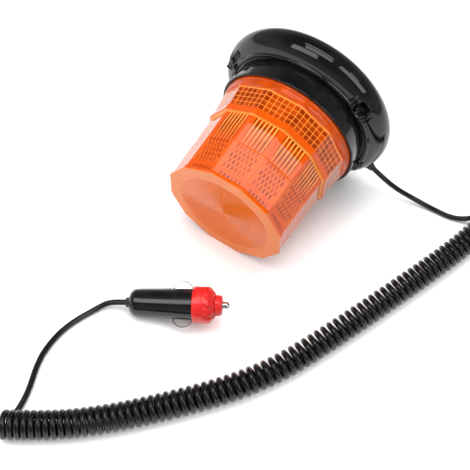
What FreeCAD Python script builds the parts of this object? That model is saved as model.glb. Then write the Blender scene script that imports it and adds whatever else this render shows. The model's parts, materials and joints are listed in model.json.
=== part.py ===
"""Magnetic LED warning beacon with a curly lead and a 12 V vehicle plug.

The beacon lies on its side, as it is put down on a table: it rests on the rolled rim of its
base and on one edge of the twelve-sided lens.  The curly lead lies on the same table, and its
plug lies in front.  +Z is up, -Y is the way the lens points, and the origin is on the table
under the middle of the beacon.  Sizes are in millimetres and angles in degrees.
"""
import FreeCAD
import Part
import Sketcher
import math
import os

from FreeCAD import Placement, Rotation, Vector

DIMENSIONS = {
    # rolled base and its collar
    "rim_radius": 56.5, "roll_radius": 10.6, "roll_height": 11.0, "wall": 2.4,
    "step_radius": 49.0, "step_top": 22.4, "groove_radius": 46.4, "groove_floor": 20.6,
    "collar_root": 44.6, "collar_lip": 46.0, "collar_top": 35.8, "collar_bore": 42.0,
    "seat_bore": 44.3, "seat_floor": 32.0,
    # screw lugs on the rim
    "lug_ring": 50.6, "lug_boss": 4.2, "lug_fill": 5.8, "lug_floor": 16.8, "lug_bottom": 1.6,
    "lug_hole": 2.25, "pocket_radius": 4.4, "rib_thick": 1.5, "rib_depth": 6.5, "rib_top": 20.9,
    "rib_floor": 15.0, "rib_ring": 49.8, "fill_floor": 7.0, "fill_height": 14.0,
    "mouth_ring": 55.1, "mouth_length": 9.0,
    "cable_boss_ring": 47.9, "cable_boss_length": 6.0, "cable_boss_width": 9.0,
    "cable_boss_floor": 16.6, "cable_boss_height": 6.0,
    # how far a cutter starts outside what it cuts, and the length of one that goes right through
    "outset": 1.0, "through": 40.0,
    # posts inside the base
    "cover_screw_ring": 40.4, "post_radius": 3.2, "cover_pilot": 1.45, "board_screw_ring": 39.4,
    "board_pilot": 1.25, "post_foot": 16.0, "cover_pilot_depth": 12.0, "board_pilot_depth": 5.0,
    "screw_head": 2.4, "screw_head_height": 1.3, "screw_slot_length": 3.0, "screw_slot": 0.6,
    "cover_screw": 1.4, "cover_screw_length": 9.0, "board_screw": 1.2, "board_screw_length": 6.0,
    "screw_gap": 0.2, "pad_hole": 2.9,
    # base cover, magnet and pad
    "pad_radius": 44.0, "pad_thick": 1.4, "cover_radius": 45.3, "cover_thick": 2.0,
    "magnet_radius": 35.0, "magnet_bore": 16.0, "magnet_thick": 8.0, "yoke_radius": 36.4,
    "yoke_bore": 5.0, "yoke_thick": 1.6,
    # driver board
    "board_floor": 22.0, "board_radius": 41.2, "board_thick": 1.6, "cable_slot": 2.6,
    "device_ring": 30.5, "capacitor_radius": 3.6, "capacitor_height": 9.0, "inductor_radius": 5.0,
    "inductor_height": 6.0, "winding_ring": 5.8, "winding_radius": 1.6, "chip_length": 6.0,
    "chip_width": 5.0, "chip_height": 1.6, "terminal_ring": 33.0, "terminal_length": 6.0,
    "terminal_width": 9.0, "terminal_height": 8.0,
    # lens
    "lens_top": 105.5, "lens_top_corner": 38.9, "lens_main_corner": 39.9, "ridge_corner": 41.8,
    "ridge_floor": 55.5, "ridge_top": 59.5, "skirt_top_corner": 41.0, "skirt_corner": 43.2,
    "flange_radius": 44.0, "flange_floor": 33.4, "flange_top": 37.0, "flange_step": 43.4,
    "flange_step_top": 40.6, "gasket_width": 1.6,
    "lens_wall": 2.4, "void_foot_corner": 40.6, "void_ridge_corner": 38.2,
    "void_main_corner": 37.5, "void_top_corner": 36.4,
    # lamp tower and its boards
    "tower_foot": 21.0, "foot_thick": 1.6, "tower_apothem": 15.5, "tower_wall": 2.0,
    "tower_top": 84.0, "side_board_width": 15.0, "side_board_height": 50.0,
    "side_board_floor": 30.0, "led_board_thick": 1.2, "led_side": 5.0, "led_thick": 1.4,
    "led_margin": 2.5, "led_pitch": 10.0, "top_board_radius": 15.0, "top_led_ring": 10.0,
    # cord
    "cord_radius": 1.7, "curl_radius": 8.05, "core_radius": 0.6, "cord_height": 10.5,
    "cord_angle": -32.0, "grommet_radius": 3.2, "grommet_clear": 0.1, "grommet_inner": 52.6,
    "grommet_outer": 57.0, "relief_length": 4.0, "relief_tip": 2.1, "cord_bore": 1.8,
    "jacket_end": 44.0, "core_riser": 38.7, "core_top": 27.5, "core_inner": 36.2, "core_bend": 1.6,
    "core_side": 0.75, "clamp_ring": 46.2, "clamp_length": 4.2, "clamp_width": 9.0,
    "clamp_height": 10.0, "clamp_gap": 0.05,
    # plug, measured from the rear end of its barrel
    "barrel_length": 37.2, "barrel_rear": 8.2, "barrel_front": 9.4, "barrel_bore": 6.6,
    "barrel_nose": 3.4, "barrel_round": 5.0, "spigot_radius": 7.6, "spigot_end": 43.0,
    "window_start": 24.0, "window_end": 39.6, "window_width": 5.4,
    "cap_radius": 10.5, "cap_start": 37.3, "cap_edge": 0.6, "cap_grip": 43.4, "cap_shoulder": 46.6,
    "cap_end": 50.0, "cap_face": 6.6, "cap_bore": 7.7, "cap_recess": 9.7, "cap_recess_end": 39.6,
    "flute_radius": 2.6, "flute_ring": 12.0, "flute_count": 10, "flute_slant": 25.0,
    "grip_radius": 0.45, "grip_ring": 6.2, "grip_length": 6.0, "thread_gap": 0.08,
    "nose_radius": 6.0, "nose_end": 54.0, "nose_skirt": 4.7, "nose_skirt_start": 44.0,
    "nose_bore": 4.1, "nose_lip": 2.37, "nose_lip_start": 52.4, "nose_round": 1.4,
    "tip_radius": 2.3, "tip_end": 58.2, "tip_flange": 3.8, "tip_flange_start": 49.0,
    "tip_flange_end": 52.1, "tip_travel": 3.0,
    "fuse_radius": 3.1, "fuse_cap": 3.2, "fuse_cap_length": 6.0, "fuse_length": 25.0,
    "seat_start": 8.0, "seat_length": 3.0, "spring_radius": 2.7, "spring_wire": 0.35,
    "leaf_width": 4.6, "leaf_thick": 0.5, "leaf_bend": 6.2, "leaf_middle": 31.3,
    "leaf_apex": 13.2, "bridge_start": 19.5, "bridge_end": 22.5,
    "ferrule_radius": 3.2, "ferrule_length": 2.0,
}
LUG_ANGLES = (41.5, 161.5, 281.5)
LUG_RIB_STEPS = (6.0, 8.6)
CABLE_BOSS_ANGLE = -24.0
COVER_SCREW_ANGLES = (60.0, 180.0, 300.0)
BOARD_SCREW_ANGLES = (0.0, 120.0, 240.0)
CAPACITOR_ANGLES = (40.0, 68.0)
INDUCTOR_ANGLE = 150.0
CHIP_ANGLES = (195.0, 222.0, 260.0)
LENS_SIDES = 12
TOWER_SIDES = 6
LEDS_A_BOARD = 5
# The plug rests on the rear of its barrel, and the set of its cord holds the tip a little up.
PLUG_REAR_X = -18.58
PLUG_REAR_Y = -118.31
PLUG_HEADING = 26.4
PLUG_LIFT = 12.0
PLUG_ROLL = 33.9

# Routes of the cord's three stretches, in the order in which they are joined.
LEAD_ROUTE = (
    (37.3, 45.3, 32.8), (51.7, 47.1, 24.0), (68.0, 50.6, 13.8), (80.0, 58.0, 5.4),
    (93.5, 61.2, 1.7), (107.0, 62.0, 1.7), (119.2, 66.4, 1.7), (129.0, 67.2, 1.7),
)
CURL_ROUTE = (
    (130.2, 70.0, 8.05), (125.1, 45.8, 8.05), (116.0, 15.0, 8.05), (106.3, -14.5, 8.05),
    (96.5, -44.0, 8.05), (86.6, -72.5, 8.05), (73.6, -106.5, 8.05), (57.0, -134.5, 8.05),
    (34.8, -163.0, 8.05), (13.6, -187.5, 8.05), (-8.2, -207.6, 8.05), (-26.6, -219.6, 8.05),
)
TAIL_ROUTE = (
    (-22.6, -217.4, 14.1), (-26.5, -208.5, 12.6), (-31.2, -198.5, 9.5), (-36.0, -186.0, 5.0),
    (-39.4, -171.0, 2.1), (-40.2, -156.0, 1.7), (-37.8, -143.5, 1.7), (-33.3, -131.5, 1.9),
    (-29.9, -124.8, 3.9), (-24.72, -121.35, 5.53), (-14.55, -116.31, 7.94),
)

doc = FreeCAD.newDocument("warning_beacon")
sheet = doc.addObject("Spreadsheet::Sheet", "Dims")
for row, (alias, number) in enumerate(DIMENSIONS.items(), start=1):
    sheet.set(f"A{row}", alias)
    sheet.set(f"B{row}", str(number))
    sheet.setAlias(f"B{row}", alias)
doc.recompute()


def size(alias):
    """The number in the sheet's cell of that name."""
    return float(sheet.get(alias))


def bound(expression):
    """An expression in which every word that is a cell of the sheet points at the sheet."""
    words = []
    word = ""
    for letter in expression + " ":
        if letter.isalnum() or letter == "_":
            word += letter
            continue
        words.append(f"Dims.{word}" if word in DIMENSIONS else word)
        words.append(letter)
        word = ""
    return "".join(words).strip()


def bind(item, **properties):
    """Bind properties of a document object to expressions on the sheet."""
    for name, expression in properties.items():
        item.setExpression(name.replace("__", "."), bound(str(expression)))
    return item


def put(item, ring="0", angle=0.0, height="0", lift=None):
    """Place an item at a polar position about the local Z axis, turned to face outwards."""
    item.Placement = Placement(Vector(), Rotation(Vector(0, 0, 1), angle) * (lift or Rotation()))
    item.setExpression("Placement.Base.x", bound(f"({ring}) * cos({angle} deg)"))
    item.setExpression("Placement.Base.y", bound(f"({ring}) * sin({angle} deg)"))
    item.setExpression("Placement.Base.z", bound(f"{height}"))
    return item


def cylinder(name, radius, length, **place):
    item = bind(doc.addObject("Part::Cylinder", name), Radius=radius, Height=length)
    return put(item, **place)


def cone(name, radius_low, radius_high, length, **place):
    item = bind(doc.addObject("Part::Cone", name), Radius1=radius_low, Radius2=radius_high,
                Height=length)
    return put(item, **place)


def torus(name, ring_radius, radius, **place):
    item = bind(doc.addObject("Part::Torus", name), Radius1=ring_radius, Radius2=radius)
    return put(item, **place)


def box(name, length, width, height, ring="0", angle=0.0, floor="0", shift="0"):
    """A box whose middle is on the ray at the given angle: length runs outwards."""
    item = doc.addObject("Part::Box", name)
    bind(item, Length=length, Width=width, Height=height)
    item.Placement = Placement(Vector(), Rotation(Vector(0, 0, 1), angle))
    inner = f"(({ring}) - ({length}) / 2)"
    side = f"(({shift}) - ({width}) / 2)"
    item.setExpression("Placement.Base.x",
                       bound(f"{inner} * cos({angle} deg) - {side} * sin({angle} deg)"))
    item.setExpression("Placement.Base.y",
                       bound(f"{inner} * sin({angle} deg) + {side} * cos({angle} deg)"))
    item.setExpression("Placement.Base.z", bound(floor))
    return item


def fuse(name, items):
    item = doc.addObject("Part::MultiFuse", name)
    item.Shapes = items
    return item


def cut(name, base, tool):
    item = doc.addObject("Part::Cut", name)
    item.Base = base
    item.Tool = tool
    return item


def common(name, first, second):
    item = doc.addObject("Part::Common", name)
    item.Base = first
    item.Tool = second
    return item


def group(name, items):
    """Separate solids of one kind, kept in one node."""
    item = doc.addObject("Part::Compound", name)
    item.Links = items
    return item


def polygon(name, corner, sides, height, turn):
    """A regular polygon, flat in its plane, with its corner radius and height bound."""
    item = bind(doc.addObject("Part::RegularPolygon", name), Circumradius=corner)
    item.Polygon = sides
    item.Placement = Placement(Vector(), Rotation(Vector(0, 0, 1), turn))
    item.setExpression("Placement.Base.z", bound(height))
    return item


def prism(name, low, high, sides, turn):
    """A solid between two polygons: low and high are (corner radius, height)."""
    item = doc.addObject("Part::Loft", name)
    item.Sections = [polygon(f"{name}_low", low[0], sides, low[1], turn),
                     polygon(f"{name}_high", high[0], sides, high[1], turn)]
    item.Solid = True
    item.Ruled = True
    return item


def turned(name, profile):
    """A PartDesign body: a closed outline of (radius, height) expressions, spun about Z."""
    body = doc.addObject("PartDesign::Body", name)
    sketch = body.newObject("Sketcher::SketchObject", f"{name}_outline")
    plane = [item for item in body.Origin.OriginFeatures if item.Role == "XZ_Plane"][0]
    sketch.AttachmentSupport = [(plane, "")]
    sketch.MapMode = "FlatFace"
    points = []
    for radius, height in profile:
        sheet.set("D1", "=" + bound(radius).replace("Dims.", ""))
        sheet.set("D2", "=" + bound(height).replace("Dims.", ""))
        sheet.recompute()
        points.append(Vector(float(sheet.get("D1")), float(sheet.get("D2")), 0))
    count = len(points)
    for index in range(count):
        sketch.addGeometry(Part.LineSegment(points[index], points[(index + 1) % count]), False)
    for index in range(count):
        sketch.addConstraint(Sketcher.Constraint("Coincident", index, 2, (index + 1) % count, 1))
    for index, (radius, height) in enumerate(profile):
        if points[index].x == 0:
            sketch.addConstraint(Sketcher.Constraint("PointOnObject", index, 1, -2))
        else:
            row = sketch.addConstraint(
                Sketcher.Constraint("DistanceX", -1, 1, index, 1, points[index].x))
            sketch.setExpression(f"Constraints[{row}]", bound(radius))
        if points[index].y == 0:
            sketch.addConstraint(Sketcher.Constraint("PointOnObject", index, 1, -1))
        else:
            row = sketch.addConstraint(
                Sketcher.Constraint("DistanceY", -1, 1, index, 1, points[index].y))
            sketch.setExpression(f"Constraints[{row}]", bound(height))
    spin = body.newObject("PartDesign::Revolution", f"{name}_spin")
    spin.Profile = sketch
    spin.ReferenceAxis = (sketch, ["V_Axis"])
    spin.Angle = 360.0
    doc.recompute()
    return body


def tube_along(name, route, radius):
    """A round tube along straight runs joined by the largest tangent arcs that fit.

    Each arc's radius is 0.45 of the shorter run over the tangent of half the turn.
    """
    points = [Vector(*point) for point in route]
    edges = []
    start = points[0]
    bends = []
    for before, corner, after in zip(points, points[1:], points[2:]):
        back = (before - corner)
        ahead = (after - corner)
        turn = math.pi - back.getAngle(ahead)
        setback = 0.45 * min(back.Length, ahead.Length)
        bend = setback / math.tan(turn / 2)
        bends.append(bend)
        back.normalize()
        ahead.normalize()
        first = corner + back * setback
        last = corner + ahead * setback
        middle_way = (back + ahead).normalize()
        middle = corner + middle_way * (bend / math.cos(turn / 2) - bend)
        edges.append(Part.LineSegment(start, first).toShape())
        edges.append(Part.Arc(first, middle, last).toShape())
        start = last
    edges.append(Part.LineSegment(start, points[-1]).toShape())
    path = Part.Wire(edges)
    heading = points[1] - points[0]
    ring = Part.Wire(Part.makeCircle(radius, points[0], heading))
    solid = path.makePipeShell([ring], True, True)
    expected = math.pi * radius ** 2 * path.Length
    print(f"{name}: length {path.Length:.1f}, tightest bend {min(bends):.1f} "
          f"({min(bends) / (2 * radius):.1f} diameters), volume ratio {solid.Volume / expected:.4f}")
    item = doc.addObject("Part::Feature", name)
    item.Shape = solid
    return item


sub_parts = {}


def keep(node, item, placement):
    """Name a finished piece and put it in its place."""
    item.Label = node
    item.Placement = placement
    sub_parts[node] = item
    return item


# ---------------------------------------------------------------- how the beacon lies
roll_ring = size("rim_radius") - size("roll_radius")
apothem = size("lens_top_corner") * math.cos(math.pi / LENS_SIDES)
drop = size("lens_top") - size("roll_height")
tilt = (math.asin(size("roll_radius") / math.hypot(drop, roll_ring - apothem))
        + math.atan2(roll_ring - apothem, drop))
base_height = apothem * math.cos(tilt) + size("lens_top") * math.sin(tilt)
reach_back = (roll_ring * math.sin(tilt) - size("roll_height") * math.cos(tilt)
              + size("roll_radius"))
reach_front = size("lens_top") * math.cos(tilt) + apothem * math.sin(tilt)
lying = Placement(Vector(0, (reach_front - reach_back) / 2, base_height),
                  Rotation(Vector(1, 0, 0), 90 + math.degrees(tilt)))
print(f"tilt {math.degrees(tilt):.3f}, base centre {lying.Base}")

# ---------------------------------------------------------------- base housing
dish_outside = [
    torus("rim_roll", "rim_radius - roll_radius", "roll_radius", height="roll_height"),
    cylinder("rim_core", "rim_radius - roll_radius", "roll_radius * 2",
             height="roll_height - roll_radius"),
    cylinder("rim_step", "step_radius", "step_top - roll_height", height="roll_height"),
]
for index, angle in enumerate(LUG_ANGLES):
    for side in (-1, 1):
        for step in LUG_RIB_STEPS:
            dish_outside.append(box(f"lug_rib{index}_{side + 1}_{int(step)}", "rib_depth",
                                    "rib_thick", "rib_top - rib_floor", ring="rib_ring",
                                    angle=angle, floor="rib_floor", shift=str(side * step)))
dish_outside.append(box("cable_boss", "cable_boss_length", "cable_boss_width",
                        "cable_boss_height", ring="cable_boss_ring", angle=CABLE_BOSS_ANGLE,
                        floor="cable_boss_floor"))
dish_shell = cut("dish_shell", fuse("dish_outside", dish_outside), fuse("dish_hollow", [
    torus("roll_void", "rim_radius - roll_radius", "roll_radius - wall", height="roll_height"),
    cylinder("mouth_void", "rim_radius - roll_radius", "roll_height + roll_radius - wall + outset",
             height="0 - outset"),
    cut("collar_groove", cylinder("groove_outside", "groove_radius", "through", height="groove_floor"),
        cylinder("groove_inside", "collar_root - outset", "through", height="groove_floor")),
]))
collar = cone("collar_wall", "collar_root", "collar_lip", "collar_top - groove_floor",
              height="groove_floor")
lug_bosses = []
lug_pockets = []
for index, angle in enumerate(LUG_ANGLES):
    lug_bosses.append(cylinder(f"lug_boss{index}", "lug_boss", "lug_floor - lug_bottom",
                               ring="lug_ring", angle=angle, height="lug_bottom"))
    lug_bosses.append(common(
        f"lug_fill{index}",
        cylinder(f"lug_fill_post{index}", "lug_fill", "fill_height", ring="lug_ring", angle=angle,
                 height="fill_floor"),
        torus(f"lug_fill_roll{index}", "rim_radius - roll_radius", "roll_radius - screw_gap",
              height="roll_height")))
    lug_pockets.append(cylinder(f"lug_pocket{index}", "pocket_radius", "mouth_length",
                                ring="lug_ring", angle=angle, height="lug_floor"))
    lug_pockets.append(box(f"lug_mouth{index}", "mouth_length", "pocket_radius * 2",
                           "mouth_length", ring="mouth_ring", angle=angle, floor="lug_floor"))
bored = cut("bored_dish", fuse("dish_with_collar", [dish_shell, collar] + lug_bosses),
            fuse("dish_bores", lug_pockets + [
                cylinder("collar_bore_void", "collar_bore", "through", height="post_foot"),
                cylinder("seat_void", "seat_bore", "through", height="seat_floor"),
            ]))
posts = [cylinder(f"cover_post{index}", "post_radius",
                  "roll_height + roll_radius - wall / 2 - pad_thick - cover_thick",
                  ring="cover_screw_ring", angle=angle, height="pad_thick + cover_thick")
         for index, angle in enumerate(COVER_SCREW_ANGLES)]
posts += [cylinder(f"board_post{index}", "post_radius", "board_floor - post_foot",
                   ring="board_screw_ring", angle=angle, height="post_foot")
          for index, angle in enumerate(BOARD_SCREW_ANGLES)]
dish_holes = [cylinder(f"lug_hole{index}", "lug_hole", "through", ring="lug_ring", angle=angle,
                       height="0 - outset") for index, angle in enumerate(LUG_ANGLES)]
dish_holes += [cylinder(f"cover_pilot{index}", "cover_pilot", "cover_pilot_depth", ring="cover_screw_ring",
                        angle=angle, height="0") for index, angle in enumerate(COVER_SCREW_ANGLES)]
dish_holes += [cylinder(f"board_pilot{index}", "board_pilot", "through", ring="board_screw_ring",
                        angle=angle, height="board_floor - board_pilot_depth")
               for index, angle in enumerate(BOARD_SCREW_ANGLES)]
OUTWARDS = Rotation(Vector(0, 1, 0), 90)
dish_holes.append(cylinder("cord_hole", "grommet_radius + grommet_clear", "through", ring="clamp_ring",
                           angle=size("cord_angle"), height="cord_height", lift=OUTWARDS))
base_dish = cut("base_dish_solid", fuse("dish_with_posts", [bored] + posts),
                fuse("dish_holes", dish_holes))
keep("base_dish", base_dish, lying)

# ---------------------------------------------------------------- cover, magnet and pad
cover = turned("cover_plate", (("0", "pad_thick"), ("cover_radius", "pad_thick"),
                               ("cover_radius", "pad_thick + cover_thick"),
                               ("0", "pad_thick + cover_thick")))
cover_drills = fuse("cover_drills", [
    cylinder(f"cover_hole{index}", "cover_pilot + screw_gap", "through", ring="cover_screw_ring",
             angle=angle, height="0") for index, angle in enumerate(COVER_SCREW_ANGLES)])
keep("bottom_cover", cut("cover_solid", cover, cover_drills), lying)
pad_drills = fuse("pad_drills", [
    cylinder(f"pad_hole{index}", "pad_hole", "through", ring="cover_screw_ring", angle=angle,
             height="0 - outset") for index, angle in enumerate(COVER_SCREW_ANGLES)])
pad_disc = cylinder("pad_disc", "pad_radius", "pad_thick")
keep("rubber_pad", cut("pad_solid", pad_disc, pad_drills), lying)
magnet_floor = "pad_thick + cover_thick"
keep("ring_magnet", cut("magnet_solid",
                        cylinder("magnet_disc", "magnet_radius", "magnet_thick",
                                 height=magnet_floor),
                        cylinder("magnet_eye", "magnet_bore", "through", height="0")), lying)
keep("steel_yoke", cut("yoke_solid",
                       cylinder("yoke_disc", "yoke_radius", "yoke_thick",
                                height=f"{magnet_floor} + magnet_thick"),
                       cylinder("yoke_eye", "yoke_bore", "through", height="0")), lying)


def pan_screw(name, ring, angle, seat, head_up, shank, reach):
    """A pan-head screw whose head rests on the given height."""
    head_low = seat if head_up else f"{seat} - screw_head_height"
    shank_low = f"{seat} - {reach}" if head_up else seat
    slot_low = (f"{seat} + screw_head_height - screw_slot" if head_up
                else f"{seat} - screw_head_height")
    head = cylinder(f"{name}_head", "screw_head", "screw_head_height", ring=ring, angle=angle,
                    height=head_low)
    body = cylinder(f"{name}_shank", shank, reach, ring=ring, angle=angle, height=shank_low)
    drive = box(f"{name}_slot", "screw_slot_length", "screw_slot", "screw_slot", ring=ring,
                angle=angle, floor=slot_low)
    return cut(name, fuse(f"{name}_blank", [head, body]), drive)


keep("cover_screws", group("cover_screw_set", [
    pan_screw(f"cover_screw{index}", "cover_screw_ring", angle, "pad_thick", False,
              "cover_screw", "cover_screw_length")
    for index, angle in enumerate(COVER_SCREW_ANGLES)]), lying)

# ---------------------------------------------------------------- driver board
board_top = "board_floor + board_thick"
board_disc = cylinder("board_disc", "board_radius", "board_thick", height="board_floor")
board_drills = [cylinder(f"board_hole{index}", "board_pilot + screw_gap", "through",
                         ring="board_screw_ring", angle=angle, height="board_floor - outset")
                for index, angle in enumerate(BOARD_SCREW_ANGLES)]
board_drills.append(cylinder("board_cable_hole", "cable_slot", "through", ring="core_riser",
                             angle=size("cord_angle"), height="board_floor - outset"))
keep("driver_board", cut("board_solid", board_disc, fuse("board_drills", board_drills)), lying)
keep("board_screws", group("board_screw_set", [
    pan_screw(f"board_screw{index}", "board_screw_ring", angle, board_top, True,
              "board_screw", "board_screw_length")
    for index, angle in enumerate(BOARD_SCREW_ANGLES)]), lying)
keep("driver_capacitors", group("capacitor_set", [
    cylinder(f"capacitor{index}", "capacitor_radius", "capacitor_height", ring="device_ring",
             angle=angle, height=board_top)
    for index, angle in enumerate(CAPACITOR_ANGLES)]), lying)
keep("driver_inductor", cut("inductor_solid",
                            cylinder("inductor_core", "inductor_radius", "inductor_height",
                                     ring="device_ring", angle=INDUCTOR_ANGLE, height=board_top),
                            torus("inductor_waist", "winding_ring", "winding_radius",
                                  ring="device_ring", angle=INDUCTOR_ANGLE,
                                  height=f"{board_top} + inductor_height / 2")), lying)
keep("driver_chips", group("chip_set", [
    box(f"chip{index}", "chip_length", "chip_width", "chip_height", ring="device_ring", angle=angle,
        floor=board_top)
    for index, angle in enumerate(CHIP_ANGLES)]), lying)
keep("board_terminal", group("terminal_block", [
    box("terminal_solid", "terminal_length", "terminal_width", "terminal_height",
        ring="terminal_ring", angle=size("cord_angle"), floor=board_top),
]), lying)

# ---------------------------------------------------------------- lens and its seal
FACET_DOWN = 15.0
twelve = (LENS_SIDES, FACET_DOWN)
lens_outside = fuse("lens_outside", [
    cylinder("lens_flange", "flange_radius", "flange_top - flange_floor", height="flange_floor"),
    cylinder("lens_step", "flange_step", "flange_step_top - flange_top + outset",
             height="flange_top - outset"),
    prism("lens_skirt", ("skirt_corner", "flange_floor + 0.5"), ("skirt_top_corner", "ridge_floor"),
          *twelve),
    prism("lens_ridge", ("ridge_corner", "ridge_floor"), ("ridge_corner", "ridge_top"), *twelve),
    prism("lens_body", ("lens_main_corner", "ridge_top"), ("lens_top_corner", "lens_top"),
          *twelve),
])
lens_inside = fuse("lens_inside", [
    prism("lens_low_void", ("void_foot_corner", "flange_floor - outset"),
          ("void_ridge_corner", "ridge_floor"), *twelve),
    prism("lens_high_void", ("void_main_corner", "ridge_floor - 0.01"),
          ("void_top_corner", "lens_top - lens_wall"), *twelve),
])
keep("lens", cut("lens_solid", lens_outside, lens_inside), lying)
keep("lens_gasket", cut("gasket_solid",
                        cylinder("gasket_disc", "flange_radius", "flange_floor - seat_floor",
                                 height="seat_floor"),
                        cylinder("gasket_eye", "flange_radius - gasket_width", "through",
                                 height="seat_floor - outset")), lying)

# ---------------------------------------------------------------- lamp tower and LEDs
FACE_DOWN = 30.0
tower_corner = "tower_apothem / cos(30 deg)"
tower_floor = board_top
tower_outside = fuse("tower_outside", [
    cylinder("tower_foot_disc", "tower_foot", "foot_thick", height=tower_floor),
    prism("tower_column", (tower_corner, tower_floor), (tower_corner, "tower_top"),
          TOWER_SIDES, FACE_DOWN),
])
tower_hollow = prism("tower_hollow", (f"{tower_corner} - tower_wall", f"{tower_floor} - outset"),
                     (f"{tower_corner} - tower_wall", "tower_top - tower_wall"),
                     TOWER_SIDES, FACE_DOWN)
keep("led_tower", cut("tower_solid", tower_outside, tower_hollow), lying)
board_ring = "tower_apothem + led_board_thick / 2"
led_ring = "tower_apothem + led_board_thick + led_thick / 2"
face_angles = [60.0 * index for index in range(TOWER_SIDES)]
keep("side_led_boards", group("side_board_set", [
    box(f"side_board{index}", "led_board_thick", "side_board_width", "side_board_height",
        ring=board_ring, angle=angle, floor="side_board_floor")
    for index, angle in enumerate(face_angles)]), lying)
side_leds = []
for index, angle in enumerate(face_angles):
    for level in range(LEDS_A_BOARD):
        side_leds.append(box(f"side_led{index}_{level}", "led_thick", "led_side", "led_side",
                             ring=led_ring, angle=angle,
                             floor=f"side_board_floor + led_margin + {level} * led_pitch"))
keep("side_leds", group("side_led_set", side_leds), lying)
keep("top_led_board", group("top_board_set", [
    cylinder("top_board_disc", "top_board_radius", "led_board_thick", height="tower_top"),
]), lying)
top_floor = "tower_top + led_board_thick"
top_leds = [box("top_led_middle", "led_side", "led_side", "led_thick", floor=top_floor)]
top_leds += [box(f"top_led{index}", "led_side", "led_side", "led_thick", ring="top_led_ring",
                 angle=angle + FACE_DOWN, floor=top_floor)
             for index, angle in enumerate(face_angles)]
keep("top_leds", group("top_led_set", top_leds), lying)

# ---------------------------------------------------------------- cord inside the base
cord_angle = size("cord_angle")
along_cord = {"angle": cord_angle, "height": "cord_height", "lift": OUTWARDS}
grommet_outside = fuse("grommet_outside", [
    cylinder("grommet_bush", "grommet_radius", "grommet_outer - grommet_inner",
             ring="grommet_inner", **along_cord),
    cone("grommet_taper", "grommet_radius - 0.2", "relief_tip", "relief_length",
         ring="grommet_outer", **along_cord),
])
keep("cord_grommet", cut("grommet_solid", grommet_outside,
                         cylinder("grommet_eye", "cord_bore", "through", ring="clamp_ring",
                                  **along_cord)),
     lying)
clamp_block = box("clamp_block", "clamp_length", "clamp_width", "clamp_height", ring="clamp_ring",
                  angle=cord_angle, floor=f"{magnet_floor} + clamp_gap")
keep("cord_clamp", cut("clamp_solid", clamp_block,
                       cylinder("clamp_eye", "cord_bore", "through", ring="core_riser",
                                **along_cord)), lying)


def core_path(side):
    """One insulated core: out of the jacket, up past the magnet, in to the terminal block."""
    outer = size("jacket_end")
    riser = size("core_riser")
    low = size("cord_height")
    high = size("core_top")
    bend = size("core_bend")
    inner = size("core_inner")
    flat = bend * (1 - math.sqrt(0.5))
    run = (Vector(outer, side, low), Vector(riser + bend, side, low))
    rise = (Vector(riser, side, low + bend), Vector(riser, side, high - bend))
    leave = (Vector(riser - bend, side, high), Vector(inner, side, high))
    low_bend = Vector(riser + flat, side, low + flat)
    high_bend = Vector(riser - flat, side, high - flat)
    return Part.Wire([
        Part.LineSegment(*run).toShape(), Part.Arc(run[1], low_bend, rise[0]).toShape(),
        Part.LineSegment(*rise).toShape(), Part.Arc(rise[1], high_bend, leave[0]).toShape(),
        Part.LineSegment(*leave).toShape()])


cores = []
for side in (-size("core_side"), size("core_side")):
    path = core_path(side)
    ring = Part.Wire(Part.makeCircle(size("core_radius"), Vector(size("jacket_end"), side,
                                                                  size("cord_height")),
                                     Vector(-1, 0, 0)))
    core = path.makePipeShell([ring], True, True)
    core.rotate(Vector(), Vector(0, 0, 1), cord_angle)
    cores.append(core)
core_feature = doc.addObject("Part::Feature", "core_pair")
core_feature.Shape = Part.makeCompound(cores)
keep("cord_cores", core_feature, lying)

# ---------------------------------------------------------------- plug
lift = math.radians(PLUG_LIFT)
plug_height = size("barrel_rear") * math.cos(lift) - size("barrel_round") * math.sin(lift)
plug_turn = (Rotation(Vector(0, 0, 1), PLUG_HEADING) * Rotation(Vector(0, 1, 0), 90 - PLUG_LIFT)
             * Rotation(Vector(0, 0, 1), PLUG_ROLL))
lying_plug = Placement(Vector(PLUG_REAR_X, PLUG_REAR_Y, plug_height), plug_turn)
print(f"plug at {lying_plug.Base}, axis {plug_turn.multVec(Vector(0, 0, 1))}")

barrel_blank = turned("barrel_blank", (
    ("0", "0"), ("barrel_nose", "0"), ("barrel_rear * 0.72", "barrel_round * 0.2"),
    ("barrel_rear * 0.92", "barrel_round * 0.55"),
    ("barrel_rear", "barrel_round"), ("barrel_front", "barrel_length"),
    ("spigot_radius", "barrel_length"), ("spigot_radius", "spigot_end"), ("0", "spigot_end")))
windows = [box(f"window{index}", "8", "window_width", "window_end - window_start", ring="9",
               angle=angle, floor="window_start") for index, angle in enumerate((90.0, -90.0))]
barrel_void = fuse("barrel_void", windows + [
    cylinder("barrel_bore_void", "barrel_bore", "through", height="seat_start"),
    cylinder("barrel_cord_hole", "cord_bore", "through", height="0 - outset"),
])
keep("plug_barrel", cut("barrel_solid", barrel_blank, barrel_void), lying_plug)
keep("plug_ferrule", cut("ferrule_solid",
                         cone("ferrule_cone", "ferrule_radius - 0.6", "ferrule_radius",
                              "ferrule_length", height="0 - ferrule_length"),
                         cylinder("ferrule_eye", "cord_bore", "through",
                                  height="0 - ferrule_length - outset")), lying_plug)
cap_blank = turned("cap_blank", (
    ("cap_recess", "cap_start"), ("cap_radius - 0.5", "cap_start"),
    ("cap_radius", "cap_start + cap_edge"), ("cap_radius", "cap_shoulder"), ("cap_face", "cap_end"),
    ("nose_skirt + thread_gap", "cap_end"), ("nose_skirt + thread_gap", "spigot_end + 0.8"),
    ("cap_bore", "spigot_end + 0.8"), ("cap_bore", "cap_recess_end"),
    ("cap_recess", "cap_recess_end")))
flute_step = 360.0 / size("flute_count")
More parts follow.
